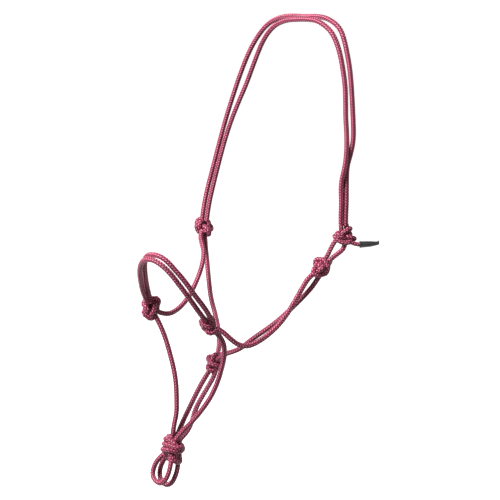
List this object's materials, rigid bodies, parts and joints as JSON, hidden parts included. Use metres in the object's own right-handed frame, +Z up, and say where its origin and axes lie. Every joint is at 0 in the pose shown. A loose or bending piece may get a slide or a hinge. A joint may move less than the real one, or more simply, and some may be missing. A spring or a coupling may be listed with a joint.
{
  "type": "rope halter",
  "caption": "Knotted braided-cord horse halter with a crown, noseband, throat strands, a fiador knot with lead loops, and a tied tail in a sleeve.",
  "frame": {"origin": "the poll: the middle of the crown's pair of strands, where the halter hangs on the head", "axes": "+Z up, the horse faces -Y, the horse's left side (with the tie) is +X"},
  "size_m": [0.3069, 0.296, 0.6418],
  "materials": {
    "braided_cord": "braided polyester, satin",
    "end_sleeve": "satin heat-shrunk"
  },
  "bodies": {
    "crown": {"crown_strand_outer": "braided_cord", "crown_strand_inner": "braided_cord", "tie_knot": "braided_cord", "eye_loop_front_leg": "braided_cord", "eye_loop_rear_leg": "braided_cord"},
    "tie_tail": {"tail_strand_front": "braided_cord", "tail_strand_rear": "braided_cord", "tail_sleeve": "end_sleeve"},
    "face": {"right_cheek_knot": "braided_cord", "left_cheek_knot": "braided_cord", "right_cheek_strand": "braided_cord", "left_cheek_strand": "braided_cord", "right_nose_knot": "braided_cord", "left_nose_knot": "braided_cord", "right_throat_strand": "braided_cord", "left_throat_strand": "braided_cord"},
    "noseband": {"noseband_strand_front": "braided_cord", "noseband_strand_rear": "braided_cord"},
    "chin": {"right_chin_strand": "braided_cord", "left_chin_strand": "braided_cord", "throat_knot": "braided_cord", "right_fiador_strand": "braided_cord", "left_fiador_strand": "braided_cord", "fiador_knot": "braided_cord"},
    "lead_loops": {"front_lead_loop": "braided_cord", "rear_lead_loop": "braided_cord"}
  },
  "joints": [
    {"name": "cheek_fold", "type": "hinge", "parent": "crown", "child": "face", "pos_m": [0, -0.071, -0.319], "axis": [0.9997, 0, -0.0248], "range_deg": [-45, 60]},
    {"name": "noseband_fold", "type": "hinge", "parent": "face", "child": "noseband", "pos_m": [0, -0.229, -0.386], "axis": [0.9988, 0, 0.0499], "range_deg": [-60, 75]},
    {"name": "chin_swing", "type": "hinge", "parent": "face", "child": "chin", "pos_m": [0, -0.229, -0.386], "axis": [0.9988, 0, 0.0499], "range_deg": [-5, 25], "deforming": ["right_throat_strand", "left_throat_strand"]},
    {"name": "lead_loop_swing", "type": "hinge", "parent": "chin", "child": "lead_loops", "pos_m": [0, -0.247, -0.578], "axis": [1, 0, 0], "range_deg": [-30, 30]},
    {"name": "tail_swing", "type": "hinge", "parent": "crown", "child": "tie_tail", "pos_m": [0.132, -0.04, -0.281], "axis": [-0.65, 0.76, 0], "range_deg": [-40, 12]}
  ]
}
